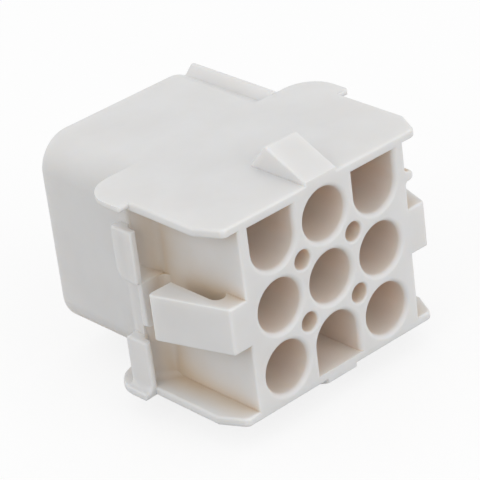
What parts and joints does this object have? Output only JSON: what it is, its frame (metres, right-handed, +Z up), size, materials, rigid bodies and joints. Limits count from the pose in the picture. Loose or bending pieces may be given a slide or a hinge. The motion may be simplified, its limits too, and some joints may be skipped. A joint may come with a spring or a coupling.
{
  "type": "wire to board connector housing",
  "caption": "Rectangular moulded cap housing with a square grid of round and D-shaped contact cavities, side latch arms, a panel flange with ears and lock ramps on top and bottom.",
  "frame": {"origin": "centre of the middle cavity on the mating face", "axes": "+Y from the mating face through the panel to the wire entry, +Z up, +X to the right as seen on the mating face, towards the side key"},
  "size_m": [0.0292, 0.0276, 0.0248],
  "materials": {
    "natural_nylon": "satin, slightly translucent off-white nylon"
  },
  "bodies": {
    "root": {"housing": "natural_nylon"}
  },
  "joints": []
}
